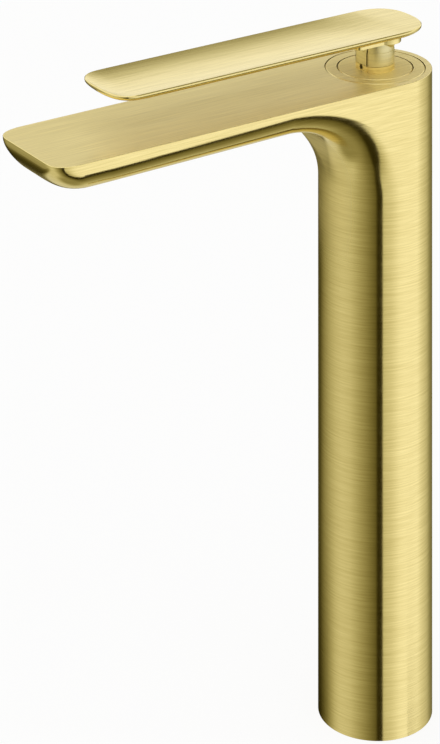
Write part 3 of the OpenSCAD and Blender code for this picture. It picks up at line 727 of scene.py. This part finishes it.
# ---- Aerator ------------------------------------------------------------------------------------
# A steel ring screwed into the spout's underside holds a fine stamped screen over the moulded insert.
# Both are bare steel, with the marks of drawing left on them.
dress(drawn_steel, "aerator_housing", "aerator_screen")

# ---- Floor and studio ---------------------------------------------------------------------------
# A white floor, and a tent of soft light round the faucet. One broad soft box stands on the spout's
# side with a dark gap round it, and the tent falls dark behind the spout's far side.
floor_half, own_light = 6.0, 0.88
floor_mesh = bpy.data.meshes.new("floor")
floor_corners = [(x * floor_half, y * floor_half, 0) for x, y in ((-1, -1), (1, -1), (1, 1), (-1, 1))]
floor_mesh.from_pydata(floor_corners, [], [(0, 1, 2, 3)])
floor = bpy.data.objects.new("floor", floor_mesh)
bpy.context.scene.collection.objects.link(floor)
floor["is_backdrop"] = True
floor.visible_glossy = False
paper = bpy.data.materials.new("white_floor")
paper.use_nodes = True
tree = paper.node_tree
new, link = tree.nodes.new, tree.links.new
glow = new("ShaderNodeEmission")
rays = new("ShaderNodeLightPath")
blend = new("ShaderNodeMixShader")
paper_white = tree.nodes["Principled BSDF"]
paper_white.inputs["Base Color"].default_value = (0.95, 0.95, 0.95, 1)
share = new("ShaderNodeMath")
share.operation = "MULTIPLY"
share.inputs[1].default_value = own_light
link(rays.outputs["Is Camera Ray"], share.inputs[0])
link(share.outputs[0], blend.inputs[0])
link(paper_white.outputs[0], blend.inputs[1])
link(glow.outputs[0], blend.inputs[2])
link(blend.outputs[0], tree.nodes["Material Output"].inputs["Surface"])
floor_mesh.materials.append(paper)

world = bpy.data.worlds.new("studio")
world.use_nodes = True
tree = world.node_tree
new, link = tree.nodes.new, tree.links.new


def calc(operation, *values):
    """A sum of values, each a number or a node's output."""
    node = new("ShaderNodeMath")
    node.operation = operation
    for socket, value in zip(node.inputs, values):
        if isinstance(value, (int, float)):
            socket.default_value = value
        else:
            link(value, socket)
    return node.outputs[0]


def ramp(value, start, end, from_level=0.0, to_level=1.0):
    """A soft step from one level to the other while the value runs from start to end."""
    node = new("ShaderNodeMapRange")
    node.interpolation_type = "SMOOTHSTEP"
    names = "From Min", "From Max", "To Min", "To Max"
    for name, level in zip(names, (start, end, from_level, to_level)):
        node.inputs[name].default_value = level
    link(value, node.inputs["Value"])
    return node.outputs[0]


def levels(value, start, end, stops):
    """Light levels at places between start and end, joined by straight ramps."""
    node = new("ShaderNodeValToRGB")
    stripe = node.color_ramp
    while len(stripe.elements) < len(stops):
        stripe.elements.new(0.5)
    for element, (at, level) in zip(stripe.elements, stops):
        element.position = (at - start) / (end - start)
        element.color = (level, level, level, 1)
    link(calc("DIVIDE", calc("SUBTRACT", value, start), end - start), node.inputs[0])
    split = new("ShaderNodeSeparateColor")
    link(node.outputs[0], split.inputs[0])
    return split.outputs[0]


def mixed(share, a, b):
    """From a, where the share is 0, to b, where it is 1."""
    node = new("ShaderNodeMix")
    link(share, node.inputs["Factor"])
    for name, value in (("A", a), ("B", b)):
        if isinstance(value, (int, float)):
            node.inputs[name].default_value = value
        else:
            link(value, node.inputs[name])
    return node.outputs["Result"]


# Every direction in the studio is a bearing round the faucet and a height over the horizon, in degrees.
studio_turn = -34.6
towards = new("ShaderNodeTexCoord")
axes = new("ShaderNodeSeparateXYZ")
link(towards.outputs["Generated"], axes.inputs[0])
turned = new("ShaderNodeVectorRotate")
turned.rotation_type = "Z_AXIS"
turned.inputs["Angle"].default_value = math.radians(-studio_turn)
link(towards.outputs["Generated"], turned.inputs["Vector"])
turned_axes = new("ShaderNodeSeparateXYZ")
link(turned.outputs[0], turned_axes.inputs[0])
bearing = calc("DEGREES", calc("ARCTAN2", turned_axes.outputs["Y"], turned_axes.outputs["X"]))
height = calc("DEGREES", calc("ARCSINE", axes.outputs["Z"]))

# The soft box has a rounded lower corner, and reach is 1 on its edge and more with the distance from it.
box_centre, box_width, box_foot, box_depth, box_corner = 40.0, 27.0, -29.0, 16.0, 2.5
sideways = calc("ABSOLUTE", calc("DIVIDE", calc("SUBTRACT", bearing, box_centre), box_width))
below = calc("DIVIDE", calc("MAXIMUM", calc("SUBTRACT", box_foot, height), 0.0), box_depth)
far_below = calc("MAXIMUM", calc("SUBTRACT", below, 1.0), 0.0)
below = calc("SUBTRACT", below, calc("MULTIPLY", far_below, 0.5))
corner = calc("ADD", calc("POWER", sideways, box_corner), calc("POWER", below, box_corner))
reach = calc("POWER", corner, 1 / box_corner)
box_light = levels(bearing, -180, 180, (
    (13, 0.62), (30, 0.74), (48, 0.96), (60, 1), (92, 1),
    (104, 0.8), (126, 0.53), (140, 0.28), (155, 0.18), (180, 0.16)))
box_light = calc("MULTIPLY", box_light, ramp(height, -46, -30, 0.6, 1.0))
box_side = calc("MULTIPLY", ramp(bearing, 12.5, 13.5), ramp(height, -33, -29.6))
in_box = calc("MAXIMUM", ramp(reach, 0.97, 1.03, 1.0, 0.0), box_side)

# The tent is dark right beside the box, lighter away from it, and falls dark again behind the spout.
tent = levels(reach, 1, 5, (
    (1, 0.026), (1.40, 0.026), (1.50, 0.12), (1.7, 0.16), (1.95, 0.215),
    (2.3, 0.30), (2.7, 0.40), (3.5, 0.61), (4, 0.65)))
falling_dark = levels(bearing, -180, 180, (
    (-180, 0.25), (-165, 0.12), (-150, 0.10), (-138, 0.24), (-114, 0.60),
    (-90, 0.9), (-75, 1), (100, 1), (180, 0.3)))
nose_dark = levels(bearing, -180, 180, (
    (-180, 0.06), (-165, 0.03), (-145, 0.03), (-128, 0.10), (-116, 0.24),
    (-104, 0.45), (-92, 0.8), (-80, 1), (180, 1)))
falling_dark = mixed(ramp(height, -26, -31), falling_dark, nose_dark)
tent = calc("MULTIPLY", tent, mixed(ramp(height, -36, -46), falling_dark, 1.0))
tent = mixed(ramp(height, -60, -80), tent, 0.28)
around = mixed(in_box, tent, box_light)

# Overhead all is bright but for two dark cards, one behind the faucet and one beside it.
aside = calc("ABSOLUTE", calc("SUBTRACT", bearing, 168))
aside = calc("MINIMUM", aside, calc("SUBTRACT", 360.0, aside))
behind = calc("MULTIPLY", ramp(aside, 36, 18), levels(height, 0, 90, (
    (0, 0), (18, 0), (21, 0.05), (26, 0.4), (32, 0.8), (39, 0.92), (46, 0.92), (54, 0))))
beside = calc("MULTIPLY", calc("MULTIPLY", ramp(height, 36, 44), ramp(height, 66, 56)),
              ramp(calc("ABSOLUTE", calc("SUBTRACT", bearing, 95)), 38, 26))
overhead = calc("SUBTRACT", 1.0, calc("MAXIMUM", behind, calc("MULTIPLY", beside, 0.75)))
light = mixed(ramp(height, -3, 8), around, overhead)

# Dim light is a little warmer than bright light, and the camera sees plain white behind the faucet.
tint = new("ShaderNodeCombineColor")
link(light, tint.inputs["Red"])
link(calc("POWER", light, 1.06), tint.inputs["Green"])
link(calc("POWER", light, 1.55), tint.inputs["Blue"])
studio = tree.nodes["Background"]
link(tint.outputs[0], studio.inputs["Color"])
plain = new("ShaderNodeBackground")
plain.inputs["Color"].default_value = (1, 1, 1, 1)
rays = new("ShaderNodeLightPath")
seen = new("ShaderNodeMixShader")
link(calc("MAXIMUM", rays.outputs["Is Camera Ray"], rays.outputs["Is Transmission Ray"]), seen.inputs[0])
link(studio.outputs[0], seen.inputs[1])
link(plain.outputs[0], seen.inputs[2])
link(seen.outputs[0], tree.nodes["World Output"].inputs["Surface"])
bpy.context.scene.world = world
bpy.context.scene.view_settings.view_transform = "Standard"

low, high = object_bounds()
